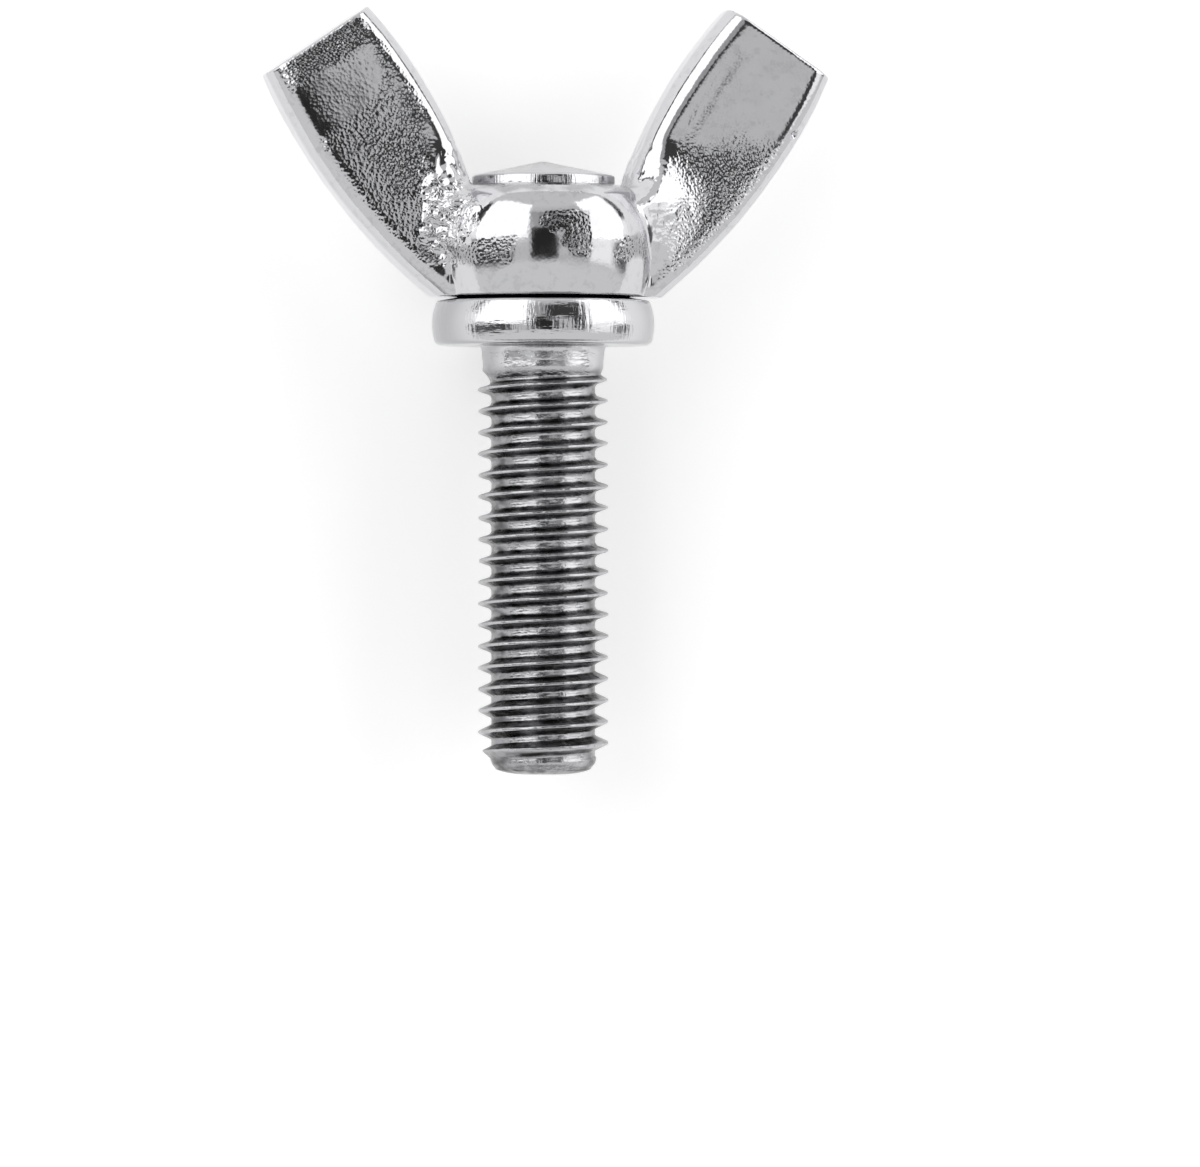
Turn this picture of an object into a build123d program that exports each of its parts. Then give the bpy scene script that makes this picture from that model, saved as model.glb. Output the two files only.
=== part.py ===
from build123d import *
import os
from math import cos, radians, sin

# Wing screw, M5 x 16, in millimetres.
#
# A cold-formed screw carries a cast wing head. The head sits on the screw's collar and is pressed
# onto a spigot that goes up through its hub and ends in a shallow cone. The shank has the thread's
# crest diameter, and the fine thread itself isn't cut.
#
# The part lies on its side, as it comes to rest. The screw's axis is Y, with the head toward +Y.
# The wings spread along X, and their broad faces look up and down. The origin is on the axis, in
# the bearing face under the collar.

# Shank, from the bearing face down to the end.
crest_diameter = 4.88  # over the crests of the M5 x 0.8 thread
shank_length = 16.05
neck_diameter = 4.52
neck_length = 1.0
neck_chamfer = 0.2
shoulder_length = 0.35  # the cone between the neck and the thread
end_chamfer_length = 1.12
end_chamfer_width = 0.66
end_corner_radius = 0.5

# Collar, between the bearing face and the seat of the head.
collar_diameter = 8.34
collar_height = 1.8
collar_crown = 0.135  # how far the rim bulges
collar_top_bevel = 0.08
collar_bottom_bevel = 0.24

# Spigot: it passes through the hub and stands a little proud of it.
spigot_diameter = 5.36
spigot_lip = 0.32
lip_chamfer = 0.06
cone_height = 0.54
bore_clearance = 0.0  # a press fit: bore and spigot have one diameter

# Hub of the head: a barrel.
hub_height = 4.25
hub_base_diameter = 7.64
hub_belly_diameter = 8.4
hub_belly_height = 2.0
hub_top_diameter = 6.0
hub_top_chamfer = 0.16
hub_base_chamfer = 0.1

# Wings: two slabs that rise from the hub, mirrored in the plane X = 0.
wing_span = 21.4
wing_height = 10.87  # from the hub's base to the highest corner
wing_angle = 56.0
wing_thickness = 2.86
wing_end_width = 4.66
outer_root_reach = 4.3  # where the outer edge meets the plane of the hub's base
inner_root_reach = 2.9
inner_root_height = 4.1
outer_edge_bulge = 0.62
inner_edge_bulge = 0.42
root_corner_radius = 0.6
outer_edge_radius = 0.9
inner_edge_radius = 0.75
end_face_chamfer = 0.2

# Heights and radii that several features share.
seat_height = collar_height
hub_top_height = seat_height + hub_height
crest_radius = crest_diameter / 2
neck_radius = neck_diameter / 2
collar_radius = collar_diameter / 2
spigot_radius = spigot_diameter / 2


def screw():
    """The screw in one piece, turned: spigot, collar, neck and shank with a chamfered, rounded end."""
    lip_height = hub_top_height + spigot_lip
    collar_side = collar_radius - collar_crown
    collar_middle = (seat_height - collar_top_bevel + collar_bottom_bevel) / 2
    end = -shank_length
    end_radius = crest_radius - end_chamfer_width
    with BuildPart() as whole:
        with BuildSketch(Plane.XY) as profile:
            with BuildLine():
                Polyline(
                    (0, end),
                    (0, lip_height + cone_height),
                    (spigot_radius - lip_chamfer, lip_height),
                    (spigot_radius, lip_height - lip_chamfer),
                    (spigot_radius, seat_height),
                    (collar_side - collar_top_bevel, seat_height),
                    (collar_side, seat_height - collar_top_bevel),
                )
                ThreePointArc(
                    (collar_side, seat_height - collar_top_bevel),
                    (collar_radius, collar_middle),
                    (collar_side, collar_bottom_bevel),
                )
                Polyline(
                    (collar_side, collar_bottom_bevel),
                    (collar_side - collar_bottom_bevel, 0),
                    (neck_radius + neck_chamfer, 0),
                    (neck_radius, -neck_chamfer),
                    (neck_radius, -neck_length),
                    (crest_radius, -neck_length - shoulder_length),
                    (crest_radius, end + end_chamfer_length),
                    (end_radius, end),
                    (0, end),
                )
            make_face()
            fillet(profile.vertices().sort_by_distance((end_radius, end))[0], end_corner_radius)
        revolve(axis=Axis.Y)
    return whole.part


def circle_at(solid, height):
    """The outermost circular edge of a turned solid at a height on the axis."""
    circles = solid.edges().filter_by(GeomType.CIRCLE)
    level = [edge for edge in circles if abs(edge.center().Y - height) < 0.001]
    return max(level, key=lambda edge: edge.radius)


def barrel():
    """The hub between its seat and its top, before the bore: two arcs that meet at its belly."""
    belly = (hub_belly_diameter / 2, seat_height + hub_belly_height)
    base_corner = (hub_base_diameter / 2, seat_height)
    top_corner = (hub_top_diameter / 2, hub_top_height)
    with BuildPart() as hub:
        with BuildSketch(Plane.XY):
            with BuildLine():
                TangentArc(belly, base_corner, tangent=(0, -1))
                TangentArc(belly, top_corner, tangent=(0, 1))
                Polyline(top_corner, (0, hub_top_height), (0, seat_height), base_corner)
            make_face()
        revolve(axis=Axis.Y)
        chamfer(circle_at(hub.part, hub_top_height), hub_top_chamfer)
        chamfer(circle_at(hub.part, seat_height), hub_base_chamfer)
    return hub.part


def bulged(start, end, bulge):
    """The middle of an arc from start to end that stands out from its chord, to the right of it."""
    chord = Vector(*end) - Vector(*start)
    right = Vector(chord.Y, -chord.X).normalized()
    return (Vector(*start) + Vector(*end)) / 2 + right * bulge


def wing_slab():
    """One wing on the +X side, with sharp edges, from the axis to its end face."""
    lean = radians(wing_angle)
    end_inner = (wing_span / 2 - wing_end_width * sin(lean), seat_height + wing_height)
    end_outer = (wing_span / 2, end_inner[1] - wing_end_width * cos(lean))
    root_outer = (outer_root_reach, seat_height)
    root_inner = (inner_root_reach, seat_height + inner_root_height)
    with BuildPart() as slab:
        with BuildSketch(Plane.XY) as outline:
            with BuildLine():
                Line((0, seat_height), root_outer)
                ThreePointArc(root_outer, bulged(root_outer, end_outer, outer_edge_bulge), end_outer)
                Line(end_outer, end_inner)
                ThreePointArc(end_inner, bulged(root_inner, end_inner, -inner_edge_bulge), root_inner)
                Polyline(root_inner, (0, seat_height + hub_height / 2), (0, seat_height))
            make_face()
            fillet(outline.vertices().sort_by_distance(root_outer)[0], root_corner_radius)
        extrude(amount=wing_thickness / 2, both=True)
    return slab.part


def long_edges(slab, side):
    """The edges along the broad faces of a slab, of its narrow faces that look toward a side."""
    edges = []
    for face in slab.faces():
        normal = face.normal_at()
        if abs(normal.Z) < 0.5 and normal.dot(side) > 0.3 and face.center().X > 0.1:
            edges += [edge for edge in face.edges() if abs(edge.center().Z) > wing_thickness / 4]
    return edges


def wing():
    """One wing, with its long edges rounded over and its end face eased."""
    lean = radians(wing_angle)
    along = Vector(cos(lean), sin(lean))
    outward = Vector(sin(lean), -cos(lean))
    slab = wing_slab()
    slab = fillet(long_edges(slab, outward), outer_edge_radius)
    slab = fillet(long_edges(slab, -outward), inner_edge_radius)
    flat = slab.faces().filter_by(GeomType.PLANE)
    end_face = max(flat, key=lambda face: face.center().dot(along))
    return chamfer(end_face.edges(), end_face_chamfer)


def wing_head():
    """The cast head in one piece: the hub with its bore, and the two wings."""
    right = wing()
    solid = barrel() + right + mirror(right, about=Plane.YZ)
    bore = Cylinder(spigot_radius + bore_clearance, 2 * hub_height, rotation=(90, 0, 0))
    return solid - bore.translate((0, seat_height + hub_height / 2, 0))


os.makedirs("parts", exist_ok=True)
export_step(screw(), "parts/screw.step")
export_step(wing_head(), "parts/wing_head.step")
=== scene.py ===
from math import cos, pi, radians, sin

import bmesh
import bpy
import numpy as np
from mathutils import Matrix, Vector


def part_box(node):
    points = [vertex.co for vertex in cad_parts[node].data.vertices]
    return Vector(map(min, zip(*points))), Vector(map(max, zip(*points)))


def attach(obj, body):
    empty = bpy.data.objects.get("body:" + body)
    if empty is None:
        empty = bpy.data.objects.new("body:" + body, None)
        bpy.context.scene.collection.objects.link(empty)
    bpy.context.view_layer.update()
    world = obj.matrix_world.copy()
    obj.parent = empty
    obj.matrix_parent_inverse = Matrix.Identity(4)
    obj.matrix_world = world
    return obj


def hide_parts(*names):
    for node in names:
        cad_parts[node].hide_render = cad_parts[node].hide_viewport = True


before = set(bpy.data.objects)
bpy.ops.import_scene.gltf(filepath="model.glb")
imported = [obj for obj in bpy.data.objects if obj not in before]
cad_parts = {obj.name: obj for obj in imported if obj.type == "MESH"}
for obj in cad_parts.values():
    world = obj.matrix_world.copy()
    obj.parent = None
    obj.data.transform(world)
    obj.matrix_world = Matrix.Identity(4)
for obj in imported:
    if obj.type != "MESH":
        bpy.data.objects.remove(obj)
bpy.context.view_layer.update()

MM = 0.001

# The frame: where the CAD nodes lie, in millimetres.
HEAD_LOW, HEAD_HIGH = (np.array(corner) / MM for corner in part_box("wing_head"))
SCREW_LOW, SCREW_HIGH = (np.array(corner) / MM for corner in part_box("screw"))
SEAT = HEAD_LOW[1]  # the seat of the head, on the collar
END = SCREW_LOW[1]  # the end of the shank
TIP = SCREW_HIGH[1]  # the point of the spigot's cone
FLOOR = HEAD_LOW[2]  # the surface that the part lies on

# Hub, in millimetres: heights count from the seat.
HUB_HEIGHT = 4.25
HUB_BASE_RADIUS = 3.82
HUB_BELLY_RADIUS = HEAD_HIGH[2]
HUB_BELLY_HEIGHT = 2.25
HUB_TOP_RADIUS = 3.25
HUB_TOP_EDGE, HUB_BASE_EDGE = 0.5, 0.12  # how its edges are rounded
BORE_RADIUS = 2.7
BORE_EDGE = 0.03

# Wings
WING_ANGLE = radians(56)
WING_HEIGHT = 10.87
WING_SPAN = 21.4
WING_END_WIDTH = 4.66
WING_WIDTH = 4.5  # on average, between the two long edges
WING_HALF_THICKNESS = 1.43
WING_TAPER = 0.018  # how much half the thickness loses along a millimetre outward
WING_MIDDLE = 6.5  # where it has its nominal thickness
WING_OFFSET = 0.11  # the wings stand a little to +X of the hub and its bore
WING_START = 1.0  # the slabs end inside the hub
OUTER_ROOT = (4.3, 0.0)
INNER_ROOT = (2.9, 4.1)
OUTER_BULGE = 0.62
INNER_BULGE = 0.42
OUTER_EDGE, INNER_EDGE, INNER_EDGE_GAIN = 0.85, 0.72, 0.26  # the long edges; the inner one opens upward
END_EDGE, END_BLEND = 0.2, 0.12
INNER_CORNER, OUTER_CORNER = 0.06, 0.08  # between the end face and the long edges
NICK_PLACE, NICK_RADIUS = (9.36, 6.1, 1.25), 0.17  # a small dent in the +X wing's outer edge

# Screw
PITCH = 0.8
CREST_RADIUS = 2.44
ROOT_RADIUS = 1.93
NECK_RADIUS = 2.26
COLLAR_RADIUS = 4.17
SPIGOT_RADIUS = 2.68
SPIGOT_LIP = 0.32


# ---------------------------------------------------------------- helpers: numbers and meshes

def smooth_min(a, b, blend):
    """The lesser of two distances, rounded over a length."""
    share = np.clip(0.5 + 0.5 * (b - a) / blend, 0, 1)
    return b + (a - b) * share - blend * share * (1 - share)


def smooth_max(a, b, blend):
    """The greater of two distances, rounded over a length."""
    return -smooth_min(-a, -b, blend)


def rounded_corner(a, b, radius):
    """The inside of two surfaces, with their common edge rounded over."""
    both = np.maximum(a + radius, b + radius)
    outside = np.hypot(np.maximum(a + radius, 0), np.maximum(b + radius, 0))
    return np.minimum(both, 0) + outside - radius


def ease(value, start, end):
    """0 before start, 1 after end, and smooth between."""
    share = np.clip((value - start) / (end - start), 0, 1)
    return share * share * (3 - 2 * share)


class Noise:
    """Smooth seeded noise between -1 and 1, with features about as large as its cell."""

    def __init__(self, seed, cell):
        self.cell = cell
        self.lattice = np.random.default_rng(seed).uniform(-1, 1, (32, 32, 32)).astype(np.float32)

    def __call__(self, x, y, z):
        total = 0
        whole, share = [], []
        for value in (x, y, z):
            scaled = value / self.cell + 1000.5
            floor = np.floor(scaled).astype(np.int32)
            part = (scaled - floor).astype(np.float32)
            whole.append(floor)
            share.append(part * part * part * (part * (part * 6 - 15) + 10))
        for i in (0, 1):
            for j in (0, 1):
                for k in (0, 1):
                    place = tuple((number + step) % 32 for number, step in zip(whole, (i, j, k)))
                    corner = self.lattice[place]
                    weight = (share[0] if i else 1 - share[0]) * (share[1] if j else 1 - share[1])
                    total = total + corner * weight * (share[2] if k else 1 - share[2])
        return total


def circle_through(start, middle, end):
    """The centre and radius of the circle through three points of a plane."""
    (ax, ay), (bx, by), (cx, cy) = start, middle, end
    twice = 2 * (ax * (by - cy) + bx * (cy - ay) + cx * (ay - by))
    a2, b2, c2 = ax * ax + ay * ay, bx * bx + by * by, cx * cx + cy * cy
    x = (a2 * (by - cy) + b2 * (cy - ay) + c2 * (ay - by)) / twice
    y = (a2 * (cx - bx) + b2 * (ax - cx) + c2 * (bx - ax)) / twice
    return (x, y), np.hypot(ax - x, ay - y)


def bulged(start, end, bulge):
    """The middle of an arc from start to end that stands out from its chord, to the right of it."""
    chord = np.subtract(end, start)
    right = np.array([chord[1], -chord[0]]) / np.hypot(*chord)
    return np.add(start, end) / 2 + right * bulge


def surface_net(distance, low, high, step):
    """A mesh of the zero surface of a distance function: points and quads, one point to a cell."""
    low = np.array(low) - 2 * step
    count = np.ceil((np.array(high) + 2 * step - low) / step).astype(int) + 1
    axes = [(low[a] + step * np.arange(count[a])).astype(np.float32) for a in range(3)]
    values = np.empty(count, np.float32)
    for i in range(count[0]):
        y, z = np.meshgrid(axes[1], axes[2], indexing="ij")
        values[i] = distance(np.full_like(y, axes[0][i]), y, z)
    inside = values < 0
    corners = [(i, j, k) for i in (0, 1) for j in (0, 1) for k in (0, 1)]
    filled = 0
    for c in corners:
        part = tuple(slice(c[a], count[a] - 1 + c[a]) for a in range(3))
        filled = filled + inside[part].astype(np.int8)
    cells = np.argwhere((filled > 0) & (filled < 8))
    number = np.full(count - 1, -1, np.int32)
    number[tuple(cells.T)] = np.arange(len(cells))
    total, crossings = np.zeros((len(cells), 3)), np.zeros(len(cells))
    for a, c in enumerate(corners):
        for d in corners[a + 1:]:
            if sum(abs(p - q) for p, q in zip(c, d)) != 1:
                continue
            start, end = values[tuple((cells + c).T)], values[tuple((cells + d).T)]
            crossed = (start < 0) != (end < 0)
            share = np.where(crossed, start / np.where(crossed, start - end, 1), 0)[:, None]
            total += np.where(crossed[:, None], np.array(c) + share * np.subtract(d, c), 0)
            crossings += crossed
    points = low + step * (cells + total / crossings[:, None])
    quads = []
    for axis in range(3):
        along, across, up = (np.eye(3, dtype=int)[(axis + n) % 3] for n in range(3))
        here = inside[tuple(slice(0, n) for n in count - along)]
        there = inside[tuple(slice(s, None) for s in along)]
        edges = np.argwhere(here != there)
        edges = edges[(edges[:, (axis + 1) % 3] > 0) & (edges[:, (axis + 2) % 3] > 0)]
        ring = [number[tuple((edges - o).T)] for o in (across + up, up, 0 * up, across)]
        quad = np.stack(ring, 1)
        leaving = here[tuple(edges.T)]
        quad[~leaving] = quad[~leaving][:, ::-1]
        quads.append(quad)
    return points, np.concatenate(quads)


def gradient(distance, points, reach):
    """The slope of a distance function at points."""
    slopes = []
    for axis in np.eye(3) * reach:
        ahead, behind = points + axis, points - axis
        slopes.append((distance(*ahead.T) - distance(*behind.T)) / (2 * reach))
    return np.stack(slopes, 1)


def settle(distance, points, step, rounds=3, longest=0.4, least_slope=0.05):
    """Points moved onto the zero surface, by short moves, and the normals there."""
    for _ in range(rounds):
        slope = gradient(distance, points, step / 4)
        steepness = np.maximum((slope ** 2).sum(1), least_slope)[:, None]
        move = distance(*points.T)[:, None] * slope / steepness
        length = np.linalg.norm(move, axis=1)[:, None]
        points = points - move * np.minimum(1, longest * step / np.maximum(length, 1e-9))
    slope = gradient(distance, points, step / 2)
    return points, slope / np.linalg.norm(slope, axis=1)[:, None]


def make_piece(name, points, faces, normals=None):
    """A smooth-shaded mesh object from points in millimetres."""
    mesh = bpy.data.meshes.new(name)
    mesh.from_pydata((np.array(points) * MM).tolist(), [], [list(face) for face in faces])
    mesh.update()
    mesh.shade_smooth()
    if normals is not None:
        mesh.normals_split_custom_set_from_vertices(np.array(normals).tolist())
    piece = bpy.data.objects.new(name, mesh)
    bpy.context.scene.collection.objects.link(piece)
    return piece


# ---------------------------------------------------------------- the cast head

END_INNER = (WING_SPAN / 2 - WING_END_WIDTH * sin(WING_ANGLE), WING_HEIGHT)
END_OUTER = (WING_SPAN / 2, WING_HEIGHT - WING_END_WIDTH * cos(WING_ANGLE))
OUTER_ARC = circle_through(OUTER_ROOT, bulged(OUTER_ROOT, END_OUTER, OUTER_BULGE), END_OUTER)
INNER_ARC = circle_through(INNER_ROOT, bulged(INNER_ROOT, END_INNER, -INNER_BULGE), END_INNER)
BELLY_TOP_ARC = circle_through(
    (HUB_TOP_RADIUS, HUB_HEIGHT),
    (HUB_BELLY_RADIUS, HUB_BELLY_HEIGHT),
    (HUB_TOP_RADIUS, 2 * HUB_BELLY_HEIGHT - HUB_HEIGHT),
)
BELLY_BASE_ARC = circle_through(
    (HUB_BASE_RADIUS, 0),
    (HUB_BELLY_RADIUS, HUB_BELLY_HEIGHT),
    (HUB_BASE_RADIUS, 2 * HUB_BELLY_HEIGHT),
)
# Seeded noises of the casting, from broad to fine
swell = Noise(3, 2.4)
ripple = Noise(5, 0.9)
grit = Noise(8, 0.28)


def hub_distance(x, h, z):
    """The barrel before its bore."""
    r = np.hypot(x, z)
    upper = np.hypot(r - BELLY_TOP_ARC[0][0], h - BELLY_TOP_ARC[0][1]) - BELLY_TOP_ARC[1]
    lower = np.hypot(r - BELLY_BASE_ARC[0][0], h - BELLY_BASE_ARC[0][1]) - BELLY_BASE_ARC[1]
    side = np.where(h > HUB_BELLY_HEIGHT, upper, lower)
    hub = rounded_corner(side, h - HUB_HEIGHT, HUB_TOP_EDGE)
    return rounded_corner(hub, -h, HUB_BASE_EDGE)


# Root flash: how steeply it rises toward the hub, where it starts and how that shifts with height.
RIGHT_SLOPE, RIGHT_START, RIGHT_SHIFT = 0.42, 4.7, 0.45
LEFT_SLOPE, LEFT_START, LEFT_SHIFT = 0.55, 4.55, 0.13
START_HEIGHT = 1.3  # the height of those starts
LEFT_PINCH = 0.35  # the left one is narrower at its foot
RAGGEDNESS = 0.3  # and its start is ragged
HIGHEST_FLASH = 1.2


def root_flash(x, h):
    """The rise of a wing's face toward the hub, where the casting was left as it came."""
    out = np.abs(x)
    right = RIGHT_SLOPE * (RIGHT_START + RIGHT_SHIFT * (np.minimum(h, 4) - START_HEIGHT) - out)
    ragged = RAGGEDNESS * ripple(x, h, 0 * x) + RAGGEDNESS * grit(x, h, 0 * x)
    pinch = LEFT_PINCH * (1 - ease(h, 1.2, 2.4))
    left = LEFT_SLOPE * (LEFT_START + LEFT_SHIFT * (h - START_HEIGHT) - pinch + ragged - out)
    rise = np.where(x > 0, smooth_max(right, 0 * x, 0.25), smooth_max(left, 0 * x, 0.1))
    slant = h + 0.4 * (out - 4) + 0.35 * swell(x, h, 0 * x)
    flash = smooth_min(rise, HIGHEST_FLASH + 0 * x, 0.3)
    return flash * ease(h, 0.5, 2.0) * (1 - ease(slant, 3.2, 6.3))


# Faces of the wings, which are flat in the middle and fall off toward the edges.
CROWN, RIGHT_OUTER_CROWN = 0.08, 0.045
RIGHT_OUTER_LIFT = 0.035  # the outer half of the +X face falls less, from the same height
RIGHT_END_FALL, LEFT_END_FALL = 0.02, 0.11
GROOVE_DEPTH, GROOVE_INSET, GROOVE_WIDTH = 0.028, 1.35, 0.28  # along the +X face, beside its inner edge


def face_relief(x, h, outer, inner, end):
    """The crown, the groove and the flash of a wing's face, each as a height."""
    across = np.clip((outer - inner) / WING_WIDTH, -1.3, 1.3)
    right_outer = (x > 0) & (across > 0)
    crown = np.where(right_outer, RIGHT_OUTER_CROWN, CROWN) * (1 - across ** 4)
    crown = crown + np.where(right_outer, RIGHT_OUTER_LIFT, 0.0)
    crown = crown - np.where(x > 0, RIGHT_END_FALL, LEFT_END_FALL) * ease(end, -1.3, 0.3)
    groove = np.where(x > 0, GROOVE_DEPTH, 0.0) * np.exp(-((inner + GROOVE_INSET) / GROOVE_WIDTH) ** 2)
    groove = groove * ease(h, 5.0, 7.0) * (1 - ease(h, 8.0, 9.8))
    flash = root_flash(x, h) * (1 - ease(inner, -1.1, -0.3) * ease(h, 3.3, 4.5))
    return crown, groove, flash


def wing_distance(x, h, z):
    """Both wings, as slabs with rounded edges, and the nick."""
    out = np.abs(x - WING_OFFSET)
    outer = np.hypot(out - OUTER_ARC[0][0], h - OUTER_ARC[0][1]) - OUTER_ARC[1]
    inner = np.hypot(out - INNER_ARC[0][0], h - INNER_ARC[0][1]) - INNER_ARC[1]
    end = (out - END_OUTER[0]) * cos(WING_ANGLE) + (h - END_OUTER[1]) * sin(WING_ANGLE)
    crown, groove, flash = face_relief(x, h, outer, inner, end)
    face = np.abs(z) - WING_HALF_THICKNESS - crown + groove - flash + WING_TAPER * (out - WING_MIDDLE)
    slab = rounded_corner(face, outer, OUTER_EDGE)
    inner_edge = INNER_EDGE + INNER_EDGE_GAIN * ease(h, 4, 9.5)
    slab = np.maximum(slab, rounded_corner(face, inner, inner_edge))
    slab = smooth_max(slab, rounded_corner(face, end, END_EDGE), END_BLEND)
    slab = smooth_max(slab, rounded_corner(inner, end, INNER_CORNER), INNER_CORNER)
    slab = smooth_max(slab, rounded_corner(outer, end, OUTER_CORNER), OUTER_CORNER)
    from_nick = [(value - place) ** 2 for value, place in zip((x, h, z), NICK_PLACE)]
    nick = NICK_RADIUS - np.sqrt(sum(from_nick))
    return np.maximum(np.maximum(slab, WING_START - out), nick)


# Where hub and wings run together, and the skin of the casting
CREASE = 0.08
CREASE_AT_FOOT = 0.12  # added low down
CREASE_AT_SIDE_LEFT, CREASE_AT_SIDE_RIGHT = 0.35, 0.05  # added halfway up
SWELL_HEIGHT, RIPPLE_HEIGHT = 0.02, 0.006
ROOT_LUMPS, ROOT_GRIT_LEFT, ROOT_GRIT_RIGHT = 0.06, 0.075, 0.02
ROUGH_BORDER = 0.2  # over which the rough roots fade in


def head_distance(x, y, z):
    """The whole head: hub and wings run together, with a cast skin, and the bore."""
    h = y - SEAT
    hub, wings = hub_distance(x, h, z), wing_distance(x, h, z)
    foot = CREASE_AT_FOOT * (1 - ease(h, 0.4, 0.9))
    side = np.where(x < 0, CREASE_AT_SIDE_LEFT, CREASE_AT_SIDE_RIGHT)
    side = side * ease(h, 1.2, 2.2) * (1 - ease(h, 3.1, 4.0))
    solid = smooth_min(hub, wings, CREASE + foot + side)
    solid = np.maximum(solid, -h)
    skin = SWELL_HEIGHT * swell(x, y, z) + RIPPLE_HEIGHT * ripple(x, y, z)
    rough = np.clip(root_flash(x, h) / ROUGH_BORDER, 0, 1)
    rough = rough * np.clip((hub - wings) / ROUGH_BORDER, 0, 1)
    gritty = np.where(x < 0, ROOT_GRIT_LEFT, ROOT_GRIT_RIGHT) * np.abs(grit(x, y, z))
    rough = rough * (ROOT_LUMPS * np.abs(ripple(x, y, z)) + gritty)
    outside_bore = ease(np.hypot(x, z), 3.0, 3.4)
    solid = solid + (skin * outside_bore + rough) * ease(h, 0.0, 0.3)
    bore = BORE_RADIUS - np.hypot(x, z)
    return rounded_corner(solid, bore, BORE_EDGE)


HEAD_CELL = 0.095  # the spacing of the head's mesh


def make_head():
    """The head's piece."""
    points, quads = surface_net(head_distance, HEAD_LOW, HEAD_HIGH, HEAD_CELL)
    points, normals = settle(head_distance, points, HEAD_CELL)
    return make_piece("wing_head_cast", points, quads, normals)


# ---------------------------------------------------------------- the turned and threaded screw

COLUMNS = 168
ANGLES = np.arange(COLUMNS) * 2 * pi / COLUMNS
THREAD_PHASE = 1.235  # a crest meets the +X side this far below the bearing face
THREAD_TOP = -0.6
THREAD_BOTTOM = END + 0.25
# Rows of one pitch of thread, as distances along the axis from the crest.
THREAD_ROWS = np.array([
    -0.36, -0.32, -0.27, -0.22, -0.17, -0.12, -0.07, -0.035, -0.012,
    0.012, 0.035, 0.07, 0.12, 0.17, 0.22, 0.27, 0.32, 0.36, 0.4,
])
SPARE_TURNS = 6  # beyond the visible ones; their rows are squeezed flat at either end
RUN_OUT = (-1.5, -0.75)  # where the thread fades into the neck
LAST_TURNS = (9.5, 13.5)  # how far below the bearing face the flanks become straighter
# Seeded noises of the crests, fine and broad
crest_wear = Noise(12, 0.22)
crest_wave = Noise(13, 1.1)
# End of the shank: a chamfer above an elliptic rounding.
TIP_ROUNDING, TIP_SHOULDER, TIP_FALL = 0.6, 1.98, 0.96
END_CHAMFER_SLOPE = 1.1
# Flanks of the thread: hollow over most of the shank, straighter in the last turns.
CREST_DROP = 0.012  # how far a worn crest lies below its nominal radius
CREST_WEAR, CREST_WAVE = 0.02, 0.012
CREST_SHARPNESS = 0.16  # how far the flanks' lines meet above the crest
CREST_SHARPNESS_LOSS = 0.06  # in the last turns
FLANK_ANGLE, FLANK_ANGLE_GAIN = 17, 8  # degrees from square to the axis, and the gain in the last turns
CORNER_BLEND = 0.05
ROOT_HOLLOW = 1.85  # how sharply the root curves up to the flanks
ROOT_RIDGE, ROOT_RIDGE_WIDTH = 0.018, 0.045  # a low ridge along the root's middle


def end_radius(y):
    """The shank's radius at its end: a chamfer that turns into a rounded tip."""
    above = y - END
    height = np.sqrt(np.clip(1 - (1 - above / TIP_ROUNDING) ** 2, 0, 1))
    tip = TIP_SHOULDER - TIP_FALL + TIP_FALL * height
    chamfer = TIP_SHOULDER + END_CHAMFER_SLOPE * (above - TIP_ROUNDING)
    return np.where(above < TIP_ROUNDING, tip, chamfer)


def thread_radius(y, offset, angle):
    """The radius at a height, where offset is the distance along the axis from the nearest crest."""
    x, z = np.cos(angle) * 3, np.sin(angle) * 3  # where the noises are read
    crest = CREST_RADIUS - CREST_DROP + CREST_WEAR * crest_wear(x, y, z)
    crest = crest + CREST_WAVE * crest_wave(x, y, z)
    last = ease(-y, *LAST_TURNS)
    slope = np.tan(np.radians(FLANK_ANGLE + FLANK_ANGLE_GAIN * last))
    flank = crest + CREST_SHARPNESS - CREST_SHARPNESS_LOSS * last - np.abs(offset) / slope
    profile = smooth_min(flank, crest + 0 * flank, CORNER_BLEND)
    from_root = np.clip(PITCH / 2 - np.abs(offset), 0, PITCH / 2)
    ridge = ROOT_RIDGE * np.exp(-(from_root / ROOT_RIDGE_WIDTH) ** 2)
    root = ROOT_RADIUS + ROOT_HOLLOW * from_root ** 2 + ridge
    profile = smooth_max(profile, root, CORNER_BLEND)
    neck = ease(y, *RUN_OUT)
    profile = profile * (1 - neck) + NECK_RADIUS * neck
    return smooth_min(profile, end_radius(y), 0.03)


def thread_grid():
    """Rows of points that climb with the thread. A row's last column meets the row one pitch below."""
    turns = int((THREAD_TOP - THREAD_BOTTOM) / PITCH) + SPARE_TURNS
    first = THREAD_BOTTOM - 2 * PITCH
    crests = -THREAD_PHASE + PITCH * (np.floor((first + THREAD_PHASE) / PITCH) + np.arange(turns))
    offsets = np.tile(THREAD_ROWS, turns)
    heights = (crests[:, None] + THREAD_ROWS[None, :]).ravel()
    y = heights[:, None] - PITCH * ANGLES[None, :] / (2 * pi)
    y = np.clip(y, THREAD_BOTTOM, THREAD_TOP)
    angle = np.broadcast_to(ANGLES, y.shape)
    radius = thread_radius(y, offsets[:, None] + 0 * y, angle)
    return np.stack([radius * np.cos(angle), y, radius * np.sin(angle)], 2)


def rings(profile):
    """Rings of points on the thread's columns, one for each (radius, height)."""
    rows = []
    for radius, y in profile:
        rows.append(np.stack([radius * np.cos(ANGLES), y + 0 * ANGLES, radius * np.sin(ANGLES)], 1))
    return np.array(rows)


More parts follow.
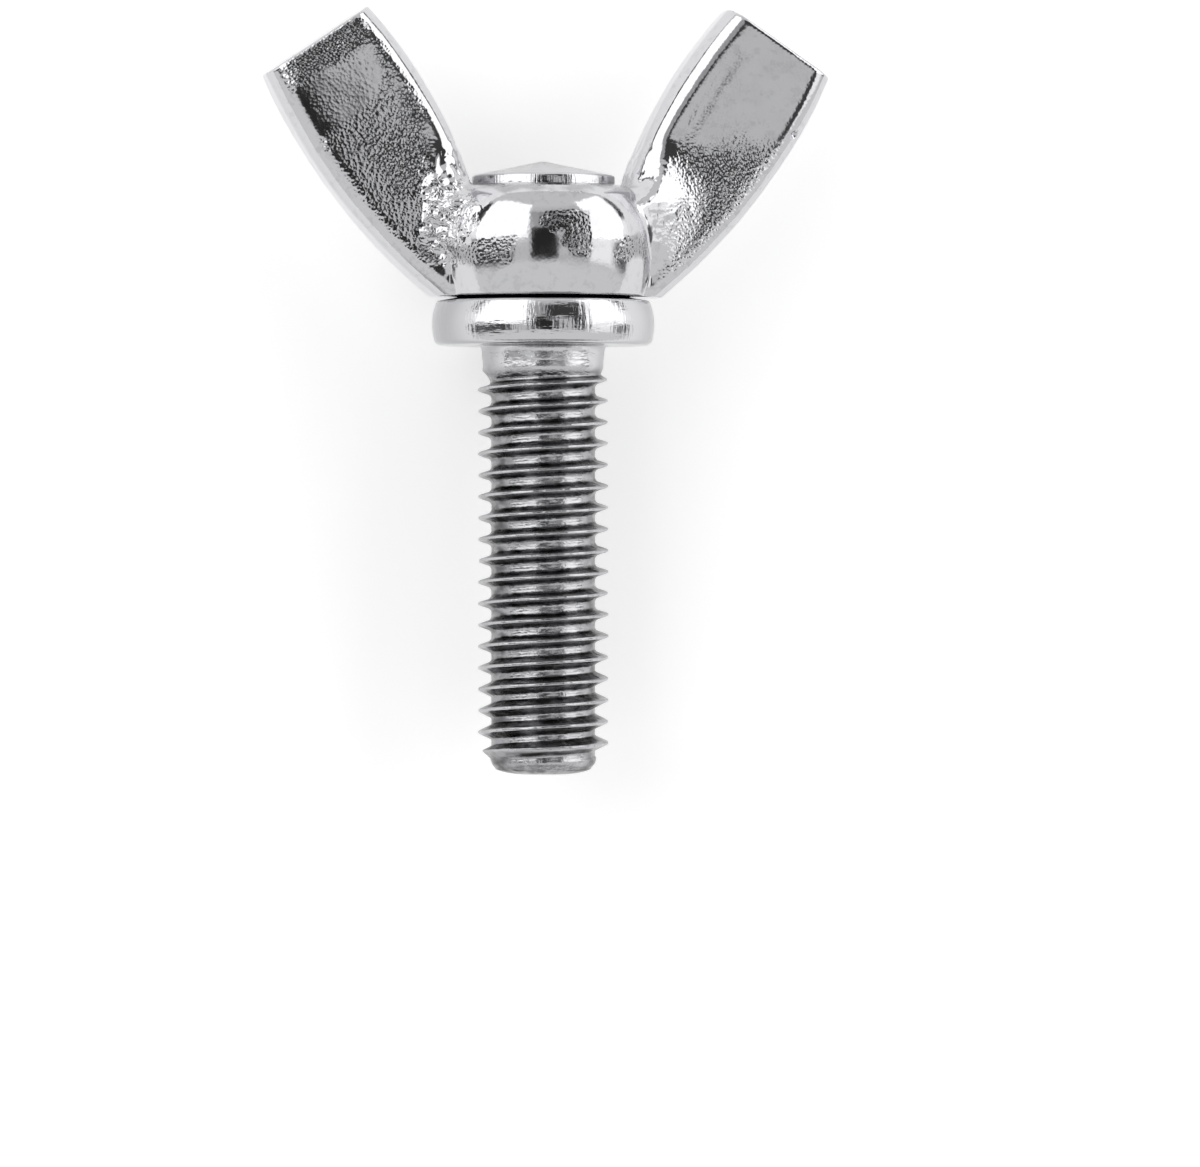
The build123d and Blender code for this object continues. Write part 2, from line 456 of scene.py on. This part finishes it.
def arc_points(centre, radius, start, end, count):
    """Points of an arc, as (radius, height), with angles in degrees from the outward direction."""
    turns = np.radians(np.linspace(start, end, count))
    return [(centre[0] + radius * cos(t), centre[1] + radius * sin(t)) for t in turns]


# Fine ridges of the neck, as (rise, height)
NECK_RIDGES = [(0, -0.56), (0.02, -0.5), (0.0, -0.43), (0.025, -0.36), (0.005, -0.29), (0.02, -0.22)]
NECK_UNEVENNESS = 0.016  # as a share of the radius
CROWN_RADIUS = 2.15  # of the collar's side, as seen in section
CROWN_HEIGHT = SEAT * 0.44  # where the collar is widest


def upper_profile():
    """From the neck up to the cone's point: neck, collar, spigot, lip and cone."""
    crown = arc_points((COLLAR_RADIUS - CROWN_RADIUS, CROWN_HEIGHT), CROWN_RADIUS, -16, 22, 16)
    low_corner = arc_points((3.845, 0.26), 0.25, -85, -20, 8)
    top_corner = arc_points((3.88, SEAT - 0.25), 0.14, 30, 80, 5)
    lip = SEAT + HUB_HEIGHT + SPIGOT_LIP
    profile = [(NECK_RADIUS + lift, y) for lift, y in NECK_RIDGES]
    profile += [(NECK_RADIUS + 0.05, -0.12), (NECK_RADIUS + 0.13, -0.04), (NECK_RADIUS + 0.25, 0)]
    profile += [(2.9, 0), (3.3, 0), (3.6, 0)] + low_corner + crown + top_corner
    profile += [(3.8, SEAT - 0.1), (3.2, SEAT), (2.75, SEAT), (SPIGOT_RADIUS, SEAT + 0.04)]
    profile += [(SPIGOT_RADIUS, y) for y in np.linspace(SEAT + 0.3, lip - 0.3, 8)]
    profile += arc_points((SPIGOT_RADIUS - 0.09, lip - 0.09), 0.09, 0, 78, 6)
    cone = np.linspace(0.97, 0.04, 26)
    profile += [((SPIGOT_RADIUS - 0.06) * share, lip + (TIP - lip) * (1 - share)) for share in cone]
    return profile


def end_cap():
    """From the tip's middle out to the thread, slightly domed, as (radius, height)."""
    above = np.array([0.0, 0.004, 0.012, 0.03, 0.06, 0.1, 0.15, 0.2])
    radii = np.array([0.05, 0.5, 0.85, 1.1, 1.32, 1.5, 1.66, 1.78])
    return list(zip(radii, END + above))


def make_screw():
    """Points and faces of the thread, the end and all that is above the thread."""
    thread = thread_grid()
    cap, upper = rings(end_cap()), rings(upper_profile())
    x, y, z = np.moveaxis(upper, 2, 0)
    uneven = NECK_UNEVENNESS * crest_wave(x, 3 * y, z)
    uneven = uneven * ease(y, -0.56, -0.45) * (1 - ease(y, -0.2, -0.06))
    upper[..., 0::2] *= 1 + uneven[..., None]
    points, faces = [], []

    def add(rows, lift):
        """Joins rows of points with quads. lift is how many rows a turn climbs."""
        base = sum(len(block) for block in points)
        count = len(rows)
        points.append(rows.reshape(-1, 3))
        index = base + np.arange(count * COLUMNS).reshape(count, COLUMNS)
        for row in range(count - 1):
            for column in range(COLUMNS):
                after, shift = (column + 1) % COLUMNS, lift if column == COLUMNS - 1 else 0
                if row + 1 - shift < 0 or row - shift < 0:
                    continue
                a, b = index[row, column], index[row + 1, column]
                c, d = index[row + 1 - shift, after], index[row - shift, after]
                faces.append((a, b, c, d))

    add(thread, len(THREAD_ROWS))
    add(np.concatenate([cap, rings([(end_radius(np.array(THREAD_BOTTOM)), THREAD_BOTTOM)])]), 0)
    add(np.concatenate([rings([(NECK_RADIUS, THREAD_TOP)]), upper]), 0)
    return np.concatenate(points), faces


WELD_DISTANCE = 0.004  # in millimetres


def weld(piece, distance):
    """Joins points that lie together, drops faces shrunk to nothing, and closes what is left open."""
    shape = bmesh.new()
    shape.from_mesh(piece.data)
    bmesh.ops.remove_doubles(shape, verts=shape.verts, dist=distance)
    bmesh.ops.dissolve_degenerate(shape, edges=shape.edges, dist=distance / 2)
    ends = [edge for edge in shape.edges if edge.is_boundary]
    bmesh.ops.holes_fill(shape, edges=ends, sides=0)
    bmesh.ops.recalc_face_normals(shape, faces=shape.faces)
    shape.to_mesh(piece.data)
    shape.free()
    piece.data.shade_smooth()


# ---------------------------------------------------------------- materials

def node(tree, kind, **settings):
    """A new node with its settings."""
    new = tree.nodes.new(kind)
    for key, value in settings.items():
        setattr(new, key, value)
    return new


def noise_node(tree, vector, scale, detail=2.0, roughness=0.5):
    """Noise between 0 and 1, with its scale in cells to a metre."""
    new = node(tree, "ShaderNodeTexNoise")
    new.inputs["Scale"].default_value = scale
    new.inputs["Detail"].default_value = detail
    new.inputs["Roughness"].default_value = roughness
    tree.links.new(vector, new.inputs["Vector"])
    return new.outputs["Fac"]


def ramp(tree, value, low, high, to_low, to_high):
    """A value that goes smoothly from to_low at low to to_high at high, and stays there."""
    new = node(tree, "ShaderNodeMapRange")
    new.interpolation_type = "SMOOTHSTEP"
    ends = {"From Min": low, "From Max": high, "To Min": to_low, "To Max": to_high}
    for name, number in ends.items():
        new.inputs[name].default_value = number
    tree.links.new(value, new.inputs["Value"])
    return new.outputs["Result"]


def math_node(tree, operation, a, b=None):
    """The result of a sum on one or two values, each a number or a socket."""
    new = node(tree, "ShaderNodeMath", operation=operation)
    for socket, value in zip(new.inputs, (a, b)):
        if value is None:
            continue
        if isinstance(value, (int, float)):
            socket.default_value = value
        else:
            tree.links.new(value, socket)
    return new.outputs["Value"]


METAL_COLOUR = (0.62, 0.62, 0.635)
BRIGHT = 0.62  # the tint of clean plating
BLUER = 1.03  # how much more of blue the plating mirrors


def metal(name):
    """A bright plated metal, and the sockets to hang its detail on."""
    material = bpy.data.materials.new(name)
    material.use_nodes = True
    tree = material.node_tree
    shader = tree.nodes["Principled BSDF"]
    shader.inputs["Metallic"].default_value = 1.0
    shader.inputs["Base Color"].default_value = (*METAL_COLOUR, 1)
    coords = node(tree, "ShaderNodeTexCoord").outputs["Object"]
    return material, tree, shader, coords


def split_axes(tree, vector):
    """The X, Y and Z of a vector."""
    split = node(tree, "ShaderNodeSeparateXYZ")
    tree.links.new(vector, split.inputs[0])
    return split.outputs


def own_normal(tree):
    """The X, Y and Z of the object's own normal."""
    return split_axes(tree, node(tree, "ShaderNodeTexCoord").outputs["Normal"])


def bump(tree, height, distance, strength, below=None):
    """A normal bent by a height, on top of the normal below it."""
    new = node(tree, "ShaderNodeBump")
    new.inputs["Distance"].default_value = distance
    if isinstance(strength, (int, float)):
        new.inputs["Strength"].default_value = strength
    else:
        tree.links.new(strength, new.inputs["Strength"])
    tree.links.new(height, new.inputs["Height"])
    if below is not None:
        tree.links.new(below, new.inputs["Normal"])
    return new.outputs["Normal"]


def pebbles(tree, vector, scale):
    """Cells of rounded grains, for the peel of a casting."""
    new = node(tree, "ShaderNodeTexVoronoi")
    new.inputs["Scale"].default_value = scale
    tree.links.new(vector, new.inputs["Vector"])
    return new.outputs["Distance"]


OPEN = 2000  # in millimetres: a bound that leaves a patch open on that side


def within(tree, axes, ranges, edge):
    """1 where each axis is inside its range and 0 outside, with soft edges.

    A range is open at its low end from -1 down, and at its high end from 1 up.
    """
    inside = 1.0
    for axis, (low, high) in zip(axes, ranges):
        if low > -1:
            above = ramp(tree, axis, low - edge, low + edge, 0, 1)
            inside = math_node(tree, "MULTIPLY", above, inside)
        if high < 1:
            below = ramp(tree, axis, high - edge, high + edge, 1, 0)
            inside = math_node(tree, "MULTIPLY", below, inside)
    return inside


def patch(tree, axes, x_range, h_range, edge):
    """1 on a part of the head, given in millimetres across and up from the seat."""
    across = [value * MM for value in x_range]
    up = [(SEAT + value) * MM for value in h_range]
    return within(tree, axes, (across, up), edge * MM)


def set_tint(tree, shader, tint):
    """The metal's colour: a grey with a breath of blue."""
    join = node(tree, "ShaderNodeCombineColor")
    tree.links.new(tint, join.inputs["Red"])
    tree.links.new(tint, join.inputs["Green"])
    tree.links.new(math_node(tree, "MULTIPLY", tint, BLUER), join.inputs["Blue"])
    tree.links.new(join.outputs["Color"], shader.inputs["Base Color"])


HUB_PATCHES = [  # where the casting's skin shows on the hub, and where painted shade darkens it: across, up from the seat, strength
    ((-0.7, 1.05), (2.7, 3.15), 1.0),
    ((-0.35, 1.05), (2.3, 2.9), 1.0),
    ((0.05, 1.05), (1.9, 2.5), 1.0),
    ((0.4, 1.05), (1.45, 2.1), 1.0),
    ((-3.9, -1.8), (1.25, 2.0), 0.8),
    ((2.3, 3.5), (1.4, 2.1), 0.8),
    ((-3.2, 3.2), (4.0, 4.6), 0.7),
]


# Skin of the casting: noise cells to a metre, and the heights of the bumps in metres.
WANDER_SCALE, WANDER = 900, 0.0012  # how far the patches' borders stray
FINE_SCALE, FINE_HEIGHT = 6000, 0.000015
PEEL_SCALE, PEEL_HEIGHT = 8000, 0.000022
CRACK_SCALE, CRACK_HEIGHT = 1050, 0.0004
WORN = 0.05  # what is left of the skin on the polished hub
CALM = 0.12  # what is left of it far out on the +X wing, and of the cracks in that wing's root
QUIET = 0.18  # what is left of it in a band near the end of the -X wing
QUIET_ALONG, QUIET_X, QUIET_EDGE = (11.1 * MM, 13.2 * MM), (-10 * MM, -6.3 * MM), 0.35 * MM
HUB_PAINTED_SHADE = 0.5  # how much darker the hub's patches are painted, as painted shade


def wing_skin(tree, coords, axes):
    """How strongly the skin shows on the wings: in patches on the -X one, by height on the +X one."""
    patches = ramp(tree, noise_node(tree, coords, 420, 1.5), 0.42, 0.6, 0.45, 1.0)
    along = math_node(tree, "MULTIPLY", axes[0], -cos(WING_ANGLE))
    along = math_node(tree, "ADD", along, math_node(tree, "MULTIPLY", axes[1], sin(WING_ANGLE)))
    quiet = within(tree, (along, axes[0]), (QUIET_ALONG, QUIET_X), QUIET_EDGE)
    patches = math_node(tree, "MULTIPLY", patches, ramp(tree, quiet, 0, 1, 1.0, QUIET))
    left = patch(tree, axes, (-OPEN, -4.5), (-OPEN, OPEN), 0.3)
    left = math_node(tree, "MULTIPLY", left, patches)
    right = patch(tree, axes, (4.5, OPEN), (-OPEN, 5.5), 0.8)
    calm = patch(tree, axes, (4.5, OPEN), (5.5, OPEN), 0.6)
    calm = math_node(tree, "MULTIPLY", calm, CALM)
    return math_node(tree, "ADD", math_node(tree, "MAXIMUM", left, right), calm)


def hub_skin(tree, axes):
    """How strongly the skin shows on the hub, which also sets its painted shade: hardly, but for its
    patches.
    """
    hub_skin_and_shade = WORN
    for x_range, h_range, share in HUB_PATCHES:
        spot = math_node(tree, "MULTIPLY", patch(tree, axes, x_range, h_range, 0.15), share)
        hub_skin_and_shade = math_node(tree, "MAXIMUM", spot, hub_skin_and_shade)
    return hub_skin_and_shade


def root_cracks(tree, axes):
    """How strongly the casting's roots are cracked."""
    right = math_node(tree, "MULTIPLY", patch(tree, axes, (3.8, 5.6), (1.0, 4.8), 0.3), CALM)
    return math_node(tree, "MAXIMUM", right, patch(tree, axes, (-4.8, -3.3), (1.1, 4.4), 0.3))


def head_material():
    """Plating over a cast skin: orange peel on the wings' faces, polish on the hub, rough roots, and
    painted shade darkening the hub's patches.
    """
    material, tree, shader, coords = metal("plated_casting")
    place = split_axes(tree, coords)
    wander = math_node(tree, "SUBTRACT", noise_node(tree, coords, WANDER_SCALE), 0.5)
    wander = math_node(tree, "MULTIPLY", wander, WANDER)
    axes = [math_node(tree, "ADD", place[name], wander) for name in "XY"]
    flat = ramp(tree, math_node(tree, "ABSOLUTE", own_normal(tree)["Z"]), 0.8, 0.93, 0.1, 1.0)
    faces = math_node(tree, "MULTIPLY", flat, wing_skin(tree, coords, axes))
    hub_skin_and_shade = hub_skin(tree, axes)
    skin = math_node(tree, "MAXIMUM", faces, hub_skin_and_shade)
    fine = bump(tree, noise_node(tree, coords, FINE_SCALE), FINE_HEIGHT, skin)
    peel = bump(tree, pebbles(tree, coords, PEEL_SCALE), PEEL_HEIGHT, skin, fine)
    cracks = math_node(tree, "SUBTRACT", noise_node(tree, coords, CRACK_SCALE, 3.0, 0.6), 0.5)
    cracks = math_node(tree, "ABSOLUTE", cracks)
    rough = bump(tree, cracks, CRACK_HEIGHT, root_cracks(tree, axes), peel)
    tree.links.new(rough, shader.inputs["Normal"])
    haze = ramp(tree, noise_node(tree, coords, 1200, 3.0), 0.3, 0.7, 0.05, 0.13)
    tree.links.new(haze, shader.inputs["Roughness"])
    tint = ramp(tree, noise_node(tree, coords, 2600, 4.0, 0.65), 0.34, 0.5, 0.57, 0.63)
    # painted shade: the hub's skin patches are darkened in the colour
    painted_dark = math_node(tree, "SUBTRACT", 1.0, math_node(tree, "MULTIPLY", hub_skin_and_shade, HUB_PAINTED_SHADE))
    set_tint(tree, shader, math_node(tree, "MULTIPLY", tint, painted_dark))
    return material


# Marks of the turning and drawing: how far a turn of one radian is spread, and the bumps in metres.
ROUND_SPREAD, ALONG_SPREAD, ALONG_SQUASH = 0.0009, 0.0042, 0.12
MARK_HEIGHT, DRAWN_HEIGHT, PIT_HEIGHT = 0.00002, 0.000016, 0.00001
# Stain and painted shade, as the share of the light that they take
SHANK_STAIN = 0.22
# painted shade on the flanks, darker on those that face the head
UPPER_FLANK_SHADE, LOWER_FLANK_SHADE = 0.36, 0.2
DEEP_SHADE = 0.52  # painted shade, low on the flanks and in the roots, on the shank's sides
SIDE_SHADE = 0.24  # painted shade on the sides of collar, neck and lip


def unrolled(tree, angle, height, spread, squash=1.0):
    """Coordinates on the unrolled surface, for marks that run round the axis or along it."""
    join = node(tree, "ShaderNodeCombineXYZ")
    tree.links.new(math_node(tree, "MULTIPLY", angle, spread), join.inputs["X"])
    tree.links.new(math_node(tree, "MULTIPLY", height, squash), join.inputs["Y"])
    return join.outputs[0]


def screw_stain_and_shade(tree, place, round_marks):
    """How much of the light the staining and painted shade take, on the threaded shank and above it."""
    normal = own_normal(tree)
    level = math_node(tree, "ABSOLUTE", normal["Z"])  # 1 where the surface looks straight up or down
    shank = ramp(tree, place["Y"], -0.0012, -0.0006, 1.0, 0.0)
    # painted shade: the flanks are darker by the way they face
    upper = ramp(tree, normal["Y"], 0.12, 0.6, 0.0, UPPER_FLANK_SHADE)
    lower = ramp(tree, normal["Y"], -0.95, -0.55, LOWER_FLANK_SHADE, 0.0)
    uneven = ramp(tree, noise_node(tree, round_marks, 2600, 3.0), 0.35, 0.65, 0.6, 1.1)
    squares = [math_node(tree, "MULTIPLY", place[name], place[name]) for name in "XZ"]
    radius = math_node(tree, "SQRT", math_node(tree, "ADD", *squares))
    # painted shade in the roots and low on the flanks, on the shank's sides
    deep = ramp(tree, radius, 0.0022, 0.00238, 1.0, 0.0)
    side = ramp(tree, level, 0.45, 0.88, DEEP_SHADE, 0.0)
    stain_and_shade = math_node(tree, "ADD", math_node(tree, "ADD", upper, lower), SHANK_STAIN)
    stain_and_shade = math_node(tree, "ADD", stain_and_shade, math_node(tree, "MULTIPLY", deep, side))
    stain_and_shade = math_node(tree, "MULTIPLY", stain_and_shade, math_node(tree, "MULTIPLY", shank, uneven))
    # painted shade on the sides of collar, neck and lip
    turned = ramp(tree, level, 0.35, 0.75, SIDE_SHADE, 0.0)
    turned = math_node(tree, "MULTIPLY", turned, math_node(tree, "SUBTRACT", 1.0, shank))
    return math_node(tree, "ADD", stain_and_shade, turned)


def screw_material():
    """Plating over rolled and turned steel: fine marks round the axis, some staining, and painted shade
    on flanks, roots and sides.
    """
    material, tree, shader, coords = metal("plated_steel")
    place = split_axes(tree, coords)
    angle = math_node(tree, "ARCTAN2", place["Z"], place["X"])
    round_marks = unrolled(tree, angle, place["Y"], ROUND_SPREAD)
    on_shank = ramp(tree, place["Y"], -0.0001, 0.0001, 1.0, 0.4)
    marks = bump(tree, noise_node(tree, round_marks, 9000), MARK_HEIGHT, on_shank)
    lines = unrolled(tree, angle, place["Y"], ALONG_SPREAD, ALONG_SQUASH)
    on_collar = ramp(tree, place["Y"], -0.0001, 0.0002, 0.0, 0.8)
    drawn = bump(tree, noise_node(tree, lines, 8000), DRAWN_HEIGHT, on_collar, marks)
    pits = bump(tree, noise_node(tree, coords, 5200), PIT_HEIGHT, 0.6, drawn)
    tree.links.new(pits, shader.inputs["Normal"])
    haze = ramp(tree, noise_node(tree, coords, 1500, 3.0), 0.3, 0.7, 0.07, 0.17)
    duller = ramp(tree, place["Y"], -0.0003, 0.0, 0.12, 0.0)
    tree.links.new(math_node(tree, "ADD", haze, duller), shader.inputs["Roughness"])
    # the colour is darkened by staining and by painted shade
    unstained_unshaded = math_node(tree, "SUBTRACT", 1.0, screw_stain_and_shade(tree, place, round_marks))
    set_tint(tree, shader, math_node(tree, "MULTIPLY", unstained_unshaded, BRIGHT))
    return material


# ---------------------------------------------------------------- studio

# Lengths are in metres here, except the sensor's width, which is in millimetres.
CAMERA_LEAN = radians(10)  # the camera stands this far from vertical, toward -X
CAMERA_REACH = 0.36
SENSOR_WIDTH = 36
VIEW_WIDTH = 0.04496
VIEW_CENTRE = Vector((0.00216, -0.0089, 0))
FLOOR_HALF = 1.5
PAPER = (0.86, 0.86, 0.86, 1)
FLOOR_GLOW = 0.4  # seen by the camera and in the metal alike
CARD_EDGE = 0.04  # how softly the sky's cards end


def make_floor():
    """A plain pale sheet under the part."""
    mesh = bpy.data.meshes.new("floor")
    corners = [(-1, -1), (1, -1), (1, 1), (-1, 1)]
    points = [(x * FLOOR_HALF, y * FLOOR_HALF, FLOOR * MM) for x, y in corners]
    mesh.from_pydata(points, [], [(0, 1, 2, 3)])
    floor = bpy.data.objects.new("floor", mesh)
    bpy.context.scene.collection.objects.link(floor)
    material = bpy.data.materials.new("floor_paper")
    material.use_nodes = True
    tree = material.node_tree
    shader = tree.nodes["Principled BSDF"]
    shader.inputs["Base Color"].default_value = PAPER
    shader.inputs["Roughness"].default_value = 0.9
    shader.inputs["Specular IOR Level"].default_value = 0.0
    rays = node(tree, "ShaderNodeLightPath").outputs
    seen = math_node(tree, "MAXIMUM", rays["Is Glossy Ray"], rays["Is Transmission Ray"])
    seen = math_node(tree, "MAXIMUM", rays["Is Camera Ray"], seen)
    shader.inputs["Emission Color"].default_value = (1, 1, 1, 1)
    tree.links.new(math_node(tree, "MULTIPLY", seen, FLOOR_GLOW), shader.inputs["Emission Strength"])
    mesh.materials.append(material)


def card(tree, axes, level, shade, *ranges):
    """A soft-edged card in the studio's sky, between directions along X, Y and Z."""
    mix = node(tree, "ShaderNodeMix", data_type="FLOAT")
    mix.inputs["B"].default_value = shade
    tree.links.new(within(tree, axes, ranges, CARD_EDGE), mix.inputs["Factor"])
    if isinstance(level, float):
        mix.inputs["A"].default_value = level
    else:
        tree.links.new(level, mix.inputs["A"])
    return mix.outputs["Result"]


SKY = 0.72  # the strength where there is no card
CARDS = [  # strength, then the directions along X, Y and Z; a later card covers an earlier one
    (0.8, (-2, 2), (0.72, 2)),  # pale, past the head
    (0.86, (-2, 2), (-0.8, -0.27)),  # pale, past the end of the screw
    (0.42, (-2, 2), (-2, -0.8)),  # darker, low down past the end
    (0.05, (-2, -0.5), (0.36, 0.72), (-2, 0.11)),  # dark along the horizon, on either side
    (0.05, (0.5, 2), (0.36, 0.72), (-2, 0.11)),
    (1.30, (-2, -0.5), (0.0, 0.3), (-2, 0.16)),  # white below the softboxes
    (1.30, (0.6, 2), (0.0, 0.3), (-2, 0.16)),
    (0.08, (-2, -0.66), (-0.27, -0.03)),  # dark strip to the left
    (0.06, (-0.1, 0.57), (0.18, 0.62)),  # dark gap between the softboxes
    (0.06, (0.36, 0.6), (-0.2, 0.24)),  # which goes on toward -Y at its right
    (0.47, (-0.36, -0.1), (0.26, 0.62)),  # grey beside the gap
    (0.03, (-0.36, -0.04), (-0.24, 0.22)),  # the camera and the one behind it, in three steps
    (0.03, (-0.36, 0.06), (-0.24, 0.12)),
    (0.03, (-0.3, 0.13), (-0.22, 0.02)),
    (1.30, (0.62, 0.94), (-0.24, -0.0)),  # white reflector, right
    (0.12, (0.94, 2), (-0.22, -0.03)),  # dark beyond it
]


def make_world():
    """A grey studio, with pale and dark cards hung round the part."""
    world = bpy.data.worlds.new("studio")
    bpy.context.scene.world = world
    world.use_nodes = True
    tree = world.node_tree
    direction = split_axes(tree, node(tree, "ShaderNodeTexCoord").outputs["Generated"])
    axes = [direction[name] for name in "XYZ"]
    level = SKY
    for shade, *ranges in CARDS:
        level = card(tree, axes, level, shade, *ranges)
    tree.links.new(level, tree.nodes["Background"].inputs["Strength"])
    tree.nodes["Background"].inputs["Color"].default_value = (1, 1, 1, 1)


def softbox(name, side, steep, low, reach, length, glow):
    """A long softbox beside and beyond the part. Its long edges stand at two angles from vertical."""
    middle, half = radians(steep + low) / 2, radians(low - steep) / 2
    data = bpy.data.lights.new(name, "AREA")
    data.shape = "RECTANGLE"
    data.size, data.size_y = 2 * reach * sin(half), length
    data.energy = glow * data.size * data.size_y
    lamp = bpy.data.objects.new(name, data)
    away = reach * cos(half)
    lamp.location = (side * away * sin(middle), length / 2, away * cos(middle))
    lamp.rotation_euler = (0, side * middle, 0)
    bpy.context.scene.collection.objects.link(lamp)


def make_camera():
    """The camera looks down on the part, a little from its -X side."""
    data = bpy.data.cameras.new("camera")
    data.sensor_width = SENSOR_WIDTH
    data.lens = SENSOR_WIDTH * CAMERA_REACH / VIEW_WIDTH
    data.clip_start, data.clip_end = 0.01, 10
    camera = bpy.data.objects.new("camera", data)
    back = Vector((-sin(CAMERA_LEAN), 0, cos(CAMERA_LEAN)))
    camera.location = VIEW_CENTRE + back * CAMERA_REACH
    camera.rotation_euler = (0, -CAMERA_LEAN, 0)
    bpy.context.scene.collection.objects.link(camera)
    bpy.context.scene.camera = camera


head = make_head()
head.data.materials.append(head_material())
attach(head, "root")
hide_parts("wing_head")

screw = make_piece("screw_rolled", *make_screw())
weld(screw, WELD_DISTANCE * MM)
screw.data.materials.append(screw_material())
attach(screw, "root")
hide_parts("screw")

make_floor()
make_world()
softbox("softbox_left", side=-1, steep=24.5, low=82, reach=0.42, length=0.5, glow=3.3)
softbox("softbox_right", side=1, steep=35.5, low=82, reach=0.42, length=0.53, glow=3.3)
make_camera()

scene = bpy.context.scene
scene.view_settings.view_transform = "Standard"
